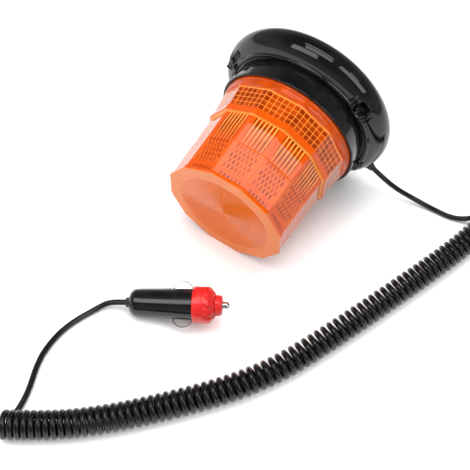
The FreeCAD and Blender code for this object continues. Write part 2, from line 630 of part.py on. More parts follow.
flutes = [cylinder(f"cap_flute{index}", "flute_radius", "through", ring="flute_ring",
                   angle=index * flute_step, height="cap_grip",
                   lift=Rotation(Vector(0, 1, 0), -size("flute_slant")))
          for index in range(int(size("flute_count")))]
keep("plug_red_cap", cut("cap_solid", cap_blank, fuse("cap_flutes", flutes)), lying_plug)
nose_blank = turned("nose_blank", (
    ("nose_lip", "nose_lip_start"), ("nose_bore", "nose_lip_start"),
    ("nose_bore", "nose_skirt_start"), ("nose_skirt", "nose_skirt_start"),
    ("nose_skirt", "cap_end + 0.1"), ("nose_radius", "cap_end + 0.1"),
    ("nose_radius", "nose_end - nose_round"), ("nose_radius - nose_round", "nose_end"),
    ("nose_lip", "nose_end")))
NOSE_GRIPS = 12
nose_grips = [cylinder(f"nose_grip{index}", "grip_radius", "grip_length", ring="grip_ring",
                       angle=index * 360.0 / NOSE_GRIPS, height="cap_end - outset")
              for index in range(NOSE_GRIPS)]
keep("plug_nose_ring", cut("nose_solid", nose_blank, fuse("nose_grips", nose_grips)), lying_plug)

tip_dome = bind(doc.addObject("Part::Sphere", "tip_dome"), Radius="tip_radius")
put(tip_dome, height="tip_end - tip_radius")
keep("plug_tip", fuse("tip_solid", [
    cylinder("tip_shank", "tip_radius", "tip_end - tip_radius - tip_flange_start",
             height="tip_flange_start"),
    cylinder("tip_collar", "tip_flange", "tip_flange_end - tip_flange_start",
             height="tip_flange_start"),
    tip_dome,
]), lying_plug)
fuse_front = "tip_flange_start - 0.05"
fuse_rear = f"{fuse_front} - fuse_length"
glass_rear = f"{fuse_rear} + fuse_cap_length"
keep("plug_fuse_glass", group("fuse_glass_set", [
    cylinder("fuse_tube", "fuse_radius", "fuse_length - fuse_cap_length * 2", height=glass_rear),
]), lying_plug)
keep("plug_fuse_ends", group("fuse_caps", [
    cylinder("fuse_rear_cap", "fuse_cap", "fuse_cap_length", height=fuse_rear),
    cylinder("fuse_front_cap", "fuse_cap", "fuse_cap_length",
             height=f"{fuse_front} - fuse_cap_length"),
]), lying_plug)
seat_end = "seat_start + seat_length"
keep("spring_seat", cut("seat_solid",
                        cylinder("seat_cup", "barrel_bore - 0.1", "seat_length",
                                 height="seat_start + 0.05"),
                        cylinder("seat_hollow", "spring_radius + 0.8", "9",
                                 height="seat_start + 1.2")), lying_plug)
SPRING_TURNS = 7
spring_low = size("seat_start") + 1.25 + size("spring_wire")
spring_high = size("tip_flange_start") - size("fuse_length") - size("tip_travel") - 0.5
helix = Part.makeHelix((spring_high - spring_low) / SPRING_TURNS, spring_high - spring_low,
                       size("spring_radius"))
helix.translate(Vector(0, 0, spring_low))
helix_wire = Part.Wire(helix.Edges)
wire_ring = Part.Wire(Part.makeCircle(size("spring_wire"),
                                      Vector(size("spring_radius"), 0, spring_low),
                                      Vector(0, 1, 0)))
spring = doc.addObject("Part::Feature", "spring_coil")
spring.Shape = helix_wire.makePipeShell([wire_ring], True, True)
keep("fuse_spring", spring, lying_plug)
keep("contact_bridge", cut("bridge_solid",
                           cylinder("bridge_ring", "barrel_bore - 0.1", "bridge_end - bridge_start",
                                    height="bridge_start"),
                           cylinder("bridge_eye", "barrel_bore - 1", "9",
                                    height="bridge_start - 1")), lying_plug)
for name, angle in (("left", 90.0), ("right", -90.0)):
    across = Rotation(Vector(1, 0, 0), 90)
    ring_place = {"ring": "leaf_apex - leaf_bend", "angle": angle, "height": "leaf_middle",
                  "lift": across}
    band = cut(f"leaf_band_{name}",
               cylinder(f"leaf_outside_{name}", "leaf_bend", "leaf_width", **ring_place),
               cylinder(f"leaf_inside_{name}", "leaf_bend - leaf_thick", "leaf_width",
                        **ring_place))
    half = box(f"leaf_half_{name}", "leaf_bend", "leaf_width * 3", "leaf_bend * 2",
               ring="leaf_apex - leaf_bend / 2", angle=angle, floor="leaf_middle - leaf_bend")
    arch = common(f"leaf_arch_{name}", band, half)
    doc.recompute()
    middle = arch.Shape.BoundBox.Center.x
    for item in (f"leaf_outside_{name}", f"leaf_inside_{name}"):
        solid = doc.getObject(item)
        solid.setExpression("Placement.Base.x", None)
        solid.Placement.Base.x -= middle
    keep(f"contact_spring_{name}", arch, lying_plug)

# ---------------------------------------------------------------- the free cord
keep("cord_lead", tube_along("lead_tube", LEAD_ROUTE, size("cord_radius")), Placement())
keep("cord_curl", tube_along("curl_tube", CURL_ROUTE, size("curl_radius")), Placement())
keep("cord_tail", tube_along("tail_tube", TAIL_ROUTE, size("cord_radius")), Placement())

# ---------------------------------------------------------------- check and write
doc.recompute()
for item in doc.Objects:
    if "Invalid" in item.State or "Error" in item.State:
        raise RuntimeError(f"{item.Name} failed: {item.State}")
for node, item in sub_parts.items():
    shape = item.Shape
    if shape.isNull() or not shape.isValid() or not shape.Solids:
        raise RuntimeError(f"{node} has no valid solid")
os.makedirs("parts", exist_ok=True)
for node, item in sub_parts.items():
    item.Shape.exportStep(f"parts/{node}.step")
    box_now = item.Shape.optimalBoundingBox(False, False)
    print(f"{node}: {len(item.Shape.Solids)} solids, {item.Shape.Volume:.0f} mm3, "
          f"x {box_now.XMin:.1f}..{box_now.XMax:.1f} y {box_now.YMin:.1f}..{box_now.YMax:.1f} "
          f"z {box_now.ZMin:.2f}..{box_now.ZMax:.1f}")
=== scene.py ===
"""The looks of a magnetic LED warning beacon, its curly lead and its vehicle plug."""
import json
import math

import bpy
import numpy as np
from mathutils import Matrix, Vector


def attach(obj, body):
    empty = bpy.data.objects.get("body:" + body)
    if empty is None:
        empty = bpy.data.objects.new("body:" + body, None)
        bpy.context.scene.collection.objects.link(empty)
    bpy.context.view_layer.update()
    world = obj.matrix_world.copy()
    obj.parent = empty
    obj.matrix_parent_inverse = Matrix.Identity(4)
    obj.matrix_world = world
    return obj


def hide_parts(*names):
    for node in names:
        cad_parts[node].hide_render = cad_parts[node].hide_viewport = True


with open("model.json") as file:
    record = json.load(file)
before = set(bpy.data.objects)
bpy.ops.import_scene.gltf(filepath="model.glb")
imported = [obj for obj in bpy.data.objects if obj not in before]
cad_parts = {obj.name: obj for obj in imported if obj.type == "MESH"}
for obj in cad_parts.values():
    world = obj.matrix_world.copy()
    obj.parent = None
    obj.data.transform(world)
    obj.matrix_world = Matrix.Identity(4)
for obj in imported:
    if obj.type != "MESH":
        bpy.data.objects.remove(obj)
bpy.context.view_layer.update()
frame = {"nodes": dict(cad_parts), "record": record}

MM = 0.001

# ------------------------------------------------------------------ camera, floor and lights
# The beacon lies on a plain white table, seen from above and a little from its right.  Two wide
# fills light it softly, and five small softboxes give its polished plastic their reflections.
LOOK_AT = Vector((0.0024, -0.0349, 0.0))
CAMERA_DISTANCE = 0.6429
CAMERA_AZIMUTH = math.radians(22.12)
CAMERA_HEIGHT = math.radians(52.32)
CAMERA_ROLL = math.radians(12.32)
LENS_LENGTH = 79.42

backwards = Vector((math.sin(CAMERA_AZIMUTH) * math.cos(CAMERA_HEIGHT),
                    -math.cos(CAMERA_AZIMUTH) * math.cos(CAMERA_HEIGHT),
                    math.sin(CAMERA_HEIGHT)))
level = Vector((math.cos(CAMERA_AZIMUTH), math.sin(CAMERA_AZIMUTH), 0.0))
upright = backwards.cross(level)
to_right = level * math.cos(CAMERA_ROLL) + upright * math.sin(CAMERA_ROLL)
to_top = upright * math.cos(CAMERA_ROLL) - level * math.sin(CAMERA_ROLL)
camera = bpy.data.objects.new("camera", bpy.data.cameras.new("camera"))
bpy.context.scene.collection.objects.link(camera)
turn = Matrix((to_right, to_top, backwards)).transposed().to_4x4()
camera.matrix_world = Matrix.Translation(LOOK_AT + backwards * CAMERA_DISTANCE) @ turn
camera.data.lens = LENS_LENGTH
camera.data.sensor_width = 36.0
camera.data.clip_start = 0.01
bpy.context.scene.camera = camera
bpy.context.scene.view_settings.view_transform = "Standard"


class Wire:
    """One output of a material's node tree: sums and products of it add their Math nodes."""

    def __init__(self, tree, socket=None):
        self.tree = tree
        self.socket = socket

    def node(self, kind, settings=None, inputs=None, out=0):
        """Add a node of any type: its settings first, then its sockets' values or links."""
        made = self.tree.nodes.new(kind)
        for name, value in (settings or {}).items():
            setattr(made, name, value)
        for name, value in (inputs or {}).items():
            if isinstance(value, Wire):
                self.tree.links.new(value.socket, made.inputs[name])
            else:
                made.inputs[name].default_value = value
        return Wire(self.tree, made.outputs[out])

    def sum_of(self, operation, first, second):
        return self.node("ShaderNodeMath", {"operation": operation}, {0: first, 1: second})

    def __add__(self, other):
        return self.sum_of("ADD", self, other)

    def __radd__(self, other):
        return self.sum_of("ADD", other, self)

    def __sub__(self, other):
        return self.sum_of("SUBTRACT", self, other)

    def __rsub__(self, other):
        return self.sum_of("SUBTRACT", other, self)

    def __mul__(self, other):
        return self.sum_of("MULTIPLY", self, other)

    def __rmul__(self, other):
        return self.sum_of("MULTIPLY", other, self)

    def noise(self, scale, detail=3.0):
        """Soft cloudy grain on the Object coordinates, from 0 to 1."""
        place = self.node("ShaderNodeTexCoord", out="Object")
        return self.node("ShaderNodeTexNoise", None,
                         {"Vector": place, "Scale": scale, "Detail": detail})

    def blend(self, share, first, second):
        """A colour between two colours."""
        return self.node("ShaderNodeMix", {"data_type": "RGBA"},
                         {"Factor": share, 6: first, 7: second}, 2)

    def step(self, low, high):
        """0 below low and 1 above high, with a soft ramp between."""
        return self.node("ShaderNodeMapRange", {"interpolation_type": "SMOOTHSTEP"},
                         {"Value": self, "From Min": low, "From Max": high})

    def bump(self, strength, depth):
        """A surface normal pushed by this height."""
        return self.node("ShaderNodeBump", None,
                         {"Height": self, "Strength": strength, "Distance": depth})


def material(name, paint=None, **constants):
    """A principled material: constants go on its sockets, and paint gives what varies."""
    made = bpy.data.materials.new(name)
    made.use_nodes = True
    shader = made.node_tree.nodes["Principled BSDF"]
    for socket, value in constants.items():
        shader.inputs[socket.replace("_", " ")].default_value = value
    if paint:
        for socket, wire in paint(Wire(made.node_tree)).items():
            made.node_tree.links.new(wire.socket, shader.inputs[socket])
    return made


def paint_floor(start):
    """White card with the faintest mottling."""
    shade = start.noise(3.0)
    return {"Base Color": start.blend(shade, (0.93, 0.93, 0.93, 1.0), (0.95, 0.95, 0.95, 1.0))}


FLOOR_REACH = 6.0
floor_mesh = bpy.data.meshes.new("table_top")
floor_mesh.from_pydata([(x, y, -0.0001) for x, y in ((-FLOOR_REACH, -FLOOR_REACH),
                                                     (FLOOR_REACH, -FLOOR_REACH),
                                                     (FLOOR_REACH, FLOOR_REACH),
                                                     (-FLOOR_REACH, FLOOR_REACH))],
                       [], [(0, 1, 2, 3)])
floor_mesh.materials.append(material("white_card", paint_floor, Roughness=0.9))
floor = bpy.data.objects.new("table_top", floor_mesh)
bpy.context.scene.collection.objects.link(floor)

world = bpy.data.worlds.new("studio")
world.use_nodes = True
room = Wire(world.node_tree)
heading = room.node("ShaderNodeTexCoord", out="Generated")
height = room.node("ShaderNodeSeparateXYZ", None, {"Vector": heading}, 2)
walls = room.blend(height.step(0.05, 0.8), (0.40, 0.40, 0.41, 1.0), (0.035, 0.035, 0.036, 1.0))
background = world.node_tree.nodes["Background"]
world.node_tree.links.new(walls.socket, background.inputs["Color"])
background.inputs["Strength"].default_value = 1.0
bpy.context.scene.world = world


def softbox(name, direction, distance, width, height, power, spin=0.0, mirrored=True):
    """A rectangular area light that faces the beacon, its height along the table's Y.

    A softbox that isn't mirrored gives light without showing in polished surfaces.
    """
    lamp = bpy.data.lights.new(name, "AREA")
    lamp.shape = "RECTANGLE"
    lamp.size = width
    lamp.size_y = height
    lamp.energy = power
    holder = bpy.data.objects.new(name, lamp)
    bpy.context.scene.collection.objects.link(holder)
    facing = Vector(direction).normalized()
    across = Vector((0.0, 1.0, 0.0)).cross(facing).normalized()
    turn = Matrix((across, facing.cross(across), facing)).transposed().to_4x4()
    place = Matrix.Translation(Vector((0.0, 0.0, 0.05)) + facing * distance)
    holder.matrix_world = place @ turn @ Matrix.Rotation(spin, 4, "Z")
    holder.visible_glossy = mirrored


softbox("overhead_fill", (-0.15, 0.1, 0.98), 1.6, 2.0, 2.0, 32.0, mirrored=False)
softbox("front_fill", (-0.1, -0.9, 0.42), 1.4, 0.9, 0.5, 8.0, mirrored=False)
softbox("upper_softbox", (-0.12, 0.185, 0.98), 1.3, 0.8, 0.16, 1.5)
softbox("middle_softbox", (-0.1, -0.12, 0.99), 1.3, 0.8, 0.4, 3.8)
softbox("right_softbox", (0.63, 0.21, 0.75), 1.3, 0.3, 0.1, 0.36)
softbox("front_strip", (-0.38, -0.55, 0.80), 1.3, 0.75, 0.55, 5.2, -0.25)
softbox("right_strip", (0.66, -0.06, 0.74), 1.3, 0.95, 0.46, 5.4)

# ------------------------------------------------------------------ how the beacon and plug lie
# Every piece is drawn in its maker's own axes: the beacon's with z from the magnet face to the
# lens, and the plug's with z from the rear of its barrel to the tip.  Sizes are in millimetres.
mounts = {mount["name"]: mount for mount in frame["record"]["mounts"]}
PAD_POINT = (0.0, 25.0, 0.0)
CAP_POINT = (0.0, 0.0, 42.25)


def lie(axis, across, point, back):
    """A (3 by 3 axes, origin) pair: z along axis, y along across, and back is point's own place."""
    z = np.array(axis) / np.linalg.norm(axis)
    y = np.array(across) - z * np.dot(across, z)
    y /= np.linalg.norm(y)
    axes = np.array([np.cross(y, z), y, z])
    return axes, np.array(point) - np.array(back) * MM @ axes


beacon_up = -np.array(mounts["magnet_face"]["axis"])
beacon_lies = lie(beacon_up, np.cross(beacon_up, (1.0, 0.0, 0.0)),
                  mounts["magnet_face"]["pos_m"], PAD_POINT)
contact_push = [joint["axis"] for joint in frame["record"]["behaviour"]["joints"]
                if joint["name"] == "left_contact_press"][0]
plug_lies = lie(mounts["socket_cap"]["axis"], -np.array(contact_push),
                mounts["socket_cap"]["pos_m"], CAP_POINT)


def skin(name, rows, lies, finish, loop=True, sharp=35.0):
    """A closed mesh over a grid of points given in the maker's axes, in millimetres.

    Quads join each row to the next and the last column to the first.  With loop the last row
    also joins the first; without it the first and last rows are closed by fans to their middle.
    The faces are turned outward by the sign of the volume they enclose.
    """
    count, across = rows.shape[:2]
    points = rows.reshape(-1, 3)
    grid = np.arange(count * across).reshape(count, across)
    low = grid if loop else grid[:-1]
    high = np.roll(grid, -1, axis=0) if loop else grid[1:]
    quads = np.stack([low, np.roll(low, -1, axis=1), np.roll(high, -1, axis=1), high], axis=-1)
    quads = quads.reshape(-1, 4)
    fans = np.empty((0, 3), int)
    if not loop:
        first, last = rows[0].mean(axis=0), rows[-1].mean(axis=0)
        points = np.vstack([points, first, last])
        start = np.stack([np.roll(grid[0], -1), grid[0], np.full(across, len(points) - 2)], axis=-1)
        end = np.stack([grid[-1], np.roll(grid[-1], -1), np.full(across, len(points) - 1)], axis=-1)
        fans = np.vstack([start, end])
    corners = np.vstack([quads[:, :3], quads[:, [0, 2, 3]], fans])
    a, b, c = points[corners[:, 0]], points[corners[:, 1]], points[corners[:, 2]]
    if np.einsum("ij,ij->", a, np.cross(b, c)) < 0:
        quads = quads[:, ::-1]
        fans = fans[:, ::-1]
    axes, origin = lies
    mesh = bpy.data.meshes.new(name)
    mesh.from_pydata((origin + points * MM @ axes).tolist(), [], quads.tolist() + fans.tolist())
    mesh.shade_smooth()
    mesh.set_sharp_from_angle(angle=math.radians(sharp))
    mesh.materials.append(finish)
    made = bpy.data.objects.new(name, mesh)
    bpy.context.scene.collection.objects.link(made)
    return made


def turned(profile, angles):
    """Rows of points: each (radius, height) of the profile at each angle about z."""
    radius = np.array([point[0] for point in profile], float)[:, None]
    height = np.array([point[1] for point in profile], float)[:, None]
    return np.stack([radius * np.cos(angles), radius * np.sin(angles),
                     height + 0.0 * angles], axis=-1)


def arc(ring, height, radius, first, last, count):
    """Points (radius, height) on a circle, between two angles in degrees."""
    turn = np.radians(np.linspace(first, last, count))
    return list(zip(ring + radius * np.cos(turn), height + radius * np.sin(turn)))


def soft_step(value, low, high):
    """0 below low and 1 above high, with a smooth ramp between."""
    share = np.clip((value - low) / (high - low), 0.0, 1.0)
    return share * share * (3.0 - 2.0 * share)


def grained(first, second, scale, rough, spread, depth=0.0):
    """A paint of two colours in cloudy grain, with a roughness that follows the grain."""
    def paint(start):
        grain = start.noise(scale, 4.0)
        made = {"Base Color": start.blend(grain.step(0.3, 0.7), (*first, 1.0), (*second, 1.0)),
                "Roughness": rough + grain * spread}
        if depth:
            made["Normal"] = start.noise(scale * 3.0, 2.0).bump(0.35, depth)
        return made
    return paint


def give(finish, *nodes):
    """Puts a material on CAD nodes."""
    for node in nodes:
        held = frame["nodes"][node].data.materials
        if held:
            held[0] = finish
        else:
            held.append(finish)


# ------------------------------------------------------------------ the base
# A round dish moulded in polished black ABS: its rim is rolled over, a groove separates the rim
# from the collar that holds the lens, and three screw lugs are sunk into the rim.
RIM_RING = 45.9
RIM_ROLL = 10.6
RIM_HEIGHT = 11.0
WALL = 2.4
LUG_ANGLES = (41.5, 161.5, 281.5)
LUG_RING = 50.6
LUG_FLOOR = 16.8
LUG_ROOF = 14.8
LUG_HOLE = 2.25
POCKET = 4.4
LUG_RIBS = (6.0, 8.6)
RIB_TOP = 21.2
BLOCK_TOP = 23.4
CABLE_BOSS = -24.0
CORD_ANGLE = -32.0
CORD_HEIGHT = 10.5
CORD_BORE = 3.2


def base_profile():
    """The dish's section: round the rolled rim, over the step, groove and collar, back inside."""
    rim = arc(RIM_RING, RIM_HEIGHT, RIM_ROLL, -90.0, 10.0, 24)
    rim += arc(RIM_RING, RIM_HEIGHT, RIM_ROLL, 12.0, 72.0, 30)
    step = [(49.0, 21.3), (48.97, 21.9), (48.8, 22.25), (48.4, 22.4), (48.0, 22.4), (47.6, 22.4),
            (47.2, 22.4), (46.75, 22.38), (46.5, 22.25), (46.4, 22.0)]
    groove = [(46.4, 21.0), (46.3, 20.75), (46.0, 20.6), (45.1, 20.6), (44.8, 20.7), (44.65, 21.0)]
    collar = [(44.7, 22.0), (45.93, 34.9), (45.96, 35.4), (45.8, 35.7), (45.5, 35.8), (44.75, 35.8),
              (44.45, 35.7), (44.3, 35.4), (44.3, 32.2), (44.1, 32.0), (42.2, 32.0), (42.0, 31.8)]
    inside = [(42.0, 19.5), (42.3, 19.2), (45.0, 19.2)]
    inside += arc(RIM_RING, RIM_HEIGHT, RIM_ROLL - WALL, 90.0, -90.0, 30)
    return rim + step, groove + collar, inside


def base_angles():
    """Angles about the beacon: 300 even ones, and fine steps of 0.4 degrees at lugs and boss."""
    even = np.arange(0.0, 360.0, 1.2)
    fine = [centre + np.arange(-14.0, 14.01, 0.4) for centre in (*LUG_ANGLES, CABLE_BOSS)]
    every = np.concatenate([even] + fine) % 360.0
    return np.radians(np.unique(np.round(every / 0.4) * 0.4 % 360.0))


def facing(rows, centre):
    """Each point's x, outward along the angle centre in degrees, and y, across it."""
    turn = math.radians(centre)
    x = rows[..., 0] * math.cos(turn) + rows[..., 1] * math.sin(turn)
    y = rows[..., 1] * math.cos(turn) - rows[..., 0] * math.sin(turn)
    return x, y


def from_hole(x, y):
    """The distance from a lug's hole, or y alone on its outer side; far away behind the axis."""
    near = np.where(x > LUG_RING, np.abs(y), np.hypot(x - LUG_RING, y))
    return np.where(x > 0.0, near, 99.0)


def sunk_lugs(rows):
    """The rim's rows with each lug's pocket pressed down and its ribs and the cable's block raised.

    The pocket is where the distance from the hole is under POCKET.  A rib is a strip of y up to
    1.7 wide, and the block one of y up to 9.2 wide; both are raised on the rim's upper side only.
    """
    top = rows[..., 2] > RIM_HEIGHT
    for centre in LUG_ANGLES:
        x, y = facing(rows, centre)
        near = from_hole(x, y)
        here = (1.0 - soft_step(near, POCKET - 0.5, POCKET + 0.1)) * (rows[..., 2] > LUG_FLOOR)
        for rib in LUG_RIBS:
            strip = 1.0 - soft_step(np.abs(np.abs(y) - rib), 0.45, 0.85)
            reach = soft_step(x, 46.9, 47.3) * (1.0 - soft_step(x, 53.0, 53.5))
            rows[..., 2] += np.maximum(RIB_TOP - rows[..., 2], 0.0) * strip * reach * top
        rows[..., 2] += (LUG_FLOOR - rows[..., 2]) * here
    x, y = facing(rows, CABLE_BOSS)
    boss = (1.0 - soft_step(np.abs(y), 4.1, 4.6)) * soft_step(x, 45.0, 45.4)
    boss *= 1.0 - soft_step(x, 50.4, 51.0)
    rows[..., 2] += np.maximum(BLOCK_TOP - rows[..., 2], 0.0) * boss * top
    return rows


def sunk_roof(rows):
    """The hollow's rows with the roof under each lug lowered, so that its pocket has a floor."""
    for centre in LUG_ANGLES:
        near = from_hole(*facing(rows, centre))
        under = (1.0 - soft_step(near, POCKET + 0.3, POCKET + 1.0)) * (rows[..., 2] > LUG_ROOF)
        rows[..., 2] += (LUG_ROOF - rows[..., 2]) * under
    return rows


def polar(radius, centre, height):
    """A point in the maker's axes, from its radius, its angle in degrees and its height."""
    turn = math.radians(centre)
    return radius * math.cos(turn), radius * math.sin(turn), height


def rod(name, radius, start, end, lies, finish, sides=48):
    """A closed round rod between two points in the maker's axes."""
    start, end = np.array(start, float), np.array(end, float)
    ahead = (end - start) / np.linalg.norm(end - start)
    side = np.cross(ahead, (0.3, 0.5, 0.8))
    side /= np.linalg.norm(side)
    over = np.cross(ahead, side)
    turn = np.linspace(0.0, 2.0 * np.pi, sides, endpoint=False)[:, None]
    ring = radius * (np.cos(turn) * side + np.sin(turn) * over)
    return skin(name, np.stack([start + ring, end + ring]), lies, finish, loop=False)


def carve(piece, *cutters):
    """Cuts closed meshes out of a piece, and takes them out of the scene."""
    for cutter in cutters:
        cut = piece.modifiers.new(cutter.name, "BOOLEAN")
        cut.operation = "DIFFERENCE"
        cut.solver = "EXACT"
        cut.object = cutter
    solid = bpy.data.meshes.new_from_object(
        piece.evaluated_get(bpy.context.evaluated_depsgraph_get()))
    piece.modifiers.clear()
    piece.data = solid
    for cutter in cutters:
        bpy.data.objects.remove(cutter)


black_gloss = material("polished_black", grained((0.004, 0.004, 0.0045), (0.009, 0.009, 0.0095),
                                                 55.0, 0.05, 0.04, 0.00001),
                       Specular_IOR_Level=0.4)
angles = base_angles()
rim_rows, collar_rows, roof_rows = base_profile()
dish_rows = np.concatenate([sunk_lugs(turned(rim_rows, angles)), turned(collar_rows, angles),
                            sunk_roof(turned(roof_rows, angles))])
dish = skin("base_dish_polished", dish_rows, beacon_lies, black_gloss, sharp=50.0)
bores = [rod(f"lug_bore_{index}", LUG_HOLE, polar(LUG_RING, centre, -2.0),
             polar(LUG_RING, centre, 25.0), beacon_lies, black_gloss)
         for index, centre in enumerate(LUG_ANGLES)]
bores.append(rod("cord_bore", CORD_BORE, polar(47.0, CORD_ANGLE, CORD_HEIGHT),
                 polar(60.0, CORD_ANGLE, CORD_HEIGHT), beacon_lies, black_gloss))
carve(dish, *bores)
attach(dish, "beacon")
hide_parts("base_dish")

# ------------------------------------------------------------------ the lens
# A twelve-sided cup moulded in clear amber polycarbonate.  Its outside is smooth, with a round
# flange and a ridge; the inside carries upright ribs, staggered bricks and a gridded skirt, and
# the end face fine rings.  The pattern is painted on both sides of the wall: painted glints of
# the lamps' yellow on raised parts, and painted shade in slots, grooves and the flange.
SIDES = 12
COLUMNS = 48
# How far six columns side by side are raised: a rib stands on the middle two, a brick on three.
RIB = np.array([0.0, 0.0, 1.0, 1.0, 0.0, 0.0])
BRICK = np.array([0.0, 0.0, 0.0, 1.0, 1.0, 1.0])
MARGIN = 6
RELIEF = 0.75
CELL_HEIGHT = 3.3
BRICK_ROW = 3.6
BRICKS_FROM = 79.8
BRICK_ROWS = 5
RING_PITCH = 1.5
RINGS = 20


def lens_rows(profile):
    """Rows of points for (height, corner radius, roundness): 0 is twelve-sided and 1 is round."""
    column = np.arange(SIDES * COLUMNS)
    turn = np.radians(15.0 + column * 360.0 / (SIDES * COLUMNS))
    half = math.pi / SIDES
    within = (column % COLUMNS) / COLUMNS * 2.0 * half - half
    flat = math.cos(half) / np.cos(within)
    rows = []
    for height, corner, roundness in profile:
        reach = corner * (roundness + (1.0 - roundness) * flat)
        rows.append(np.stack([reach * np.cos(turn), reach * np.sin(turn),
                              np.full(len(turn), float(height))], axis=-1))
    return np.array(rows)


def lens_relief():
    """The relief from the foot up: rows of (height, raised share by column, glow, shade).

    The skirt is a grid of lines a cell apart, the body upright ribs, then rows of slots, each
    row half a slot to the side of the row below, then a plain band and a row of ticks.  The third
    column is a painted glint: how much of the lamps' yellow is painted on the raised part, as if
    seen through it.  The fourth is painted shade: how dark the slots are painted; the flange's
    rows, with a low raised share, are painted darker too.
    """
    step = np.arange(COLUMNS)
    inner = (step >= MARGIN) & (step < COLUMNS - MARGIN)
    lines = ((step % 8) < 1).astype(float)
    ribs = np.where(inner, RIB[(step - MARGIN) % 6], 0.5)
    bricks = np.where(inner, BRICK[(step - MARGIN) % 6], 1.0)
    shifted = np.where(inner, BRICK[(step - MARGIN + 3) % 6], 1.0)
    # The flange's rows get a low raised share, so they are painted darker, with painted shade.
    dim, plain, full = np.full(COLUMNS, 0.15), np.full(COLUMNS, 0.5), np.ones(COLUMNS)
    made = [(33.4, dim, 0.0, 0.6), (40.8, dim, 0.0, 0.6), (41.4, plain, 0.1, 0.4),
            (41.9, full, 0.3, 0.3)]
    for cell in range(4):
        floor = 42.2 + cell * CELL_HEIGHT
        made += [(floor + 0.2, full, 0.6, 0.85), (floor + 0.55, lines, 0.6, 0.85),
                 (floor + CELL_HEIGHT - 0.15, lines, 0.6, 0.85)]
    made += [(55.5, full, 0.3, 0.2), (55.8, plain, 0.1, 0.0), (59.4, plain, 0.1, 0.0),
             (59.7, full, 0.5, 0.3), (60.2, full, 0.5, 0.6), (60.5, ribs, 0.9, 0.9),
             (67.0, ribs, 0.7, 0.9), (79.0, ribs, 0.2, 0.6)]
    for row in range(BRICK_ROWS):
        floor = BRICKS_FROM + row * BRICK_ROW
        wall = bricks if row % 2 else shifted
        made += [(floor - 0.4, full, 0.05, 0.6), (floor, full, 0.05, 0.7),
                 (floor + 0.3, wall, 0.05, 0.9), (floor + BRICK_ROW - 0.7, wall, 0.05, 0.9)]
    made += [(98.0, full, 0.0, 0.7), (100.3, full, 0.0, 0.8), (100.6, bricks, 0.0, 1.0),
             (102.6, bricks, 0.0, 1.0), (102.9, full, 0.0, 0.8)]
    return [np.array([row[part] for row in made]) for part in range(4)]


def end_face():
    """The end face: a plain border, a saw-tooth of rings to the middle, and painted groove shade."""
    made = [(105.3, 39.1, 0.0), (105.5, 38.7, 0.0), (105.5, 33.0, 0.2), (105.45, 31.2, 1.0)]
    face_raised_and_groove_shade = [1.0, 1.0, 0.95, 0.95]
    for ring in range(RINGS, 0, -1):
        made.append((105.45, ring * RING_PITCH, 1.0))
        made.append((105.2, (ring - 0.6) * RING_PITCH, 1.0))
        # The lower row of each tooth gets a raised share of 0.6, which paints shade in its groove.
        face_raised_and_groove_shade += [0.95, 0.6]
    return made, face_raised_and_groove_shade


def paint_lens(start):
    """Clear amber, faint flow marks; lamps' yellow painted as glints on ribs, painted shade in slots.
    """
    share, painted_glint, shade = (start.node("ShaderNodeAttribute", {"attribute_name": name}, out="Fac")
                          for name in ("raised", "painted_glint", "shade"))
    cloud = start.noise(45.0)
    amber = start.blend(cloud, (0.60, 0.068, 0.002, 1.0), (0.70, 0.092, 0.003, 1.0))
    # Painted glints: the lamps' yellow painted on the raised parts, as if shining through them.
    painted_glint_colour = start.blend(painted_glint, amber, (1.0, 0.50, 0.09, 1.0))
    # Painted shade: the slots and the flange painted towards a dark red-brown, in uneven patches;
    # hollow mixes it with the amber where little is raised.
    patchy = start.noise(130.0, 1.0).step(0.38, 0.62) * 0.5 + 0.5
    painted_shade_colour = start.blend(shade * patchy, amber, (0.17, 0.016, 0.001, 1.0))
    hollow = start.blend(share * 2.0, painted_shade_colour, amber)
    return {"Base Color": start.blend(share * 2.0 - 1.0, hollow, painted_glint_colour),
            "Roughness": 0.03 + cloud * 0.04,
            "Normal": start.noise(160.0, 2.0).bump(0.04, 0.00002)}


OUTSIDE = ((33.4, 44.0, 1), (36.5, 44.0, 1), (36.85, 43.9, 1), (37.0, 43.6, 1), (37.25, 43.35, 1),
           (39.9, 43.35, 1), (40.3, 43.2, 1), (40.6, 42.9, 1), (40.8, 42.9, 0.6), (41.4, 42.95, 0),
           (55.2, 41.15, 0), (55.5, 41.25, 0), (55.8, 41.75, 0), (59.2, 41.75, 0), (59.5, 41.5, 0),
           (59.9, 40.1, 0), (60.3, 39.75, 0), (66.9, 39.7, 0), (79.2, 39.05, 0), (79.55, 39.25, 0),
           (80.0, 39.25, 0), (102.7, 38.55, 0), (103.3, 39.15, 0), (104.9, 39.3, 0))
INSIDE = ((33.4, 40.6), (55.5, 38.4), (59.6, 37.5), (103.1, 36.5))
heights, shares, painted_glints, shades = lens_relief()
shares = np.tile(shares, SIDES)
levels = np.unique(np.concatenate([heights, [row[0] for row in OUTSIDE]]))
across = np.array([np.interp(levels, heights, column) for column in shares.T]).T
corner, roundness = (np.interp(levels, [row[0] for row in OUTSIDE], [row[part] for row in OUTSIDE])
                     for part in (1, 2))
face, face_raised_and_groove_shade = end_face()
outer_rows = np.concatenate([lens_rows(face)[::-1],
                             lens_rows(list(zip(levels, corner, roundness)))[::-1]])
corner = np.interp(heights, *zip(*INSIDE))
inner_rows = lens_rows(list(zip(heights, corner, np.zeros(len(heights)))))
inner_rows[..., :2] *= 1.0 - (RELIEF * shares / corner[:, None])[..., None]
end_rows = lens_rows([(103.1, 36.0, 0.0), (103.1, 30.0, 0.5), (103.1, 8.0, 1.0)])
lens_clear = material("clear_amber", paint_lens, Transmission_Weight=0.15, IOR=1.49,
                      Specular_IOR_Level=0.3)
lens = skin("lens_clear", np.concatenate([outer_rows, inner_rows, end_rows]), beacon_lies,
            lens_clear, loop=False, sharp=25.0)
ones = np.ones(SIDES * COLUMNS)
rest = np.ones(len(end_rows))
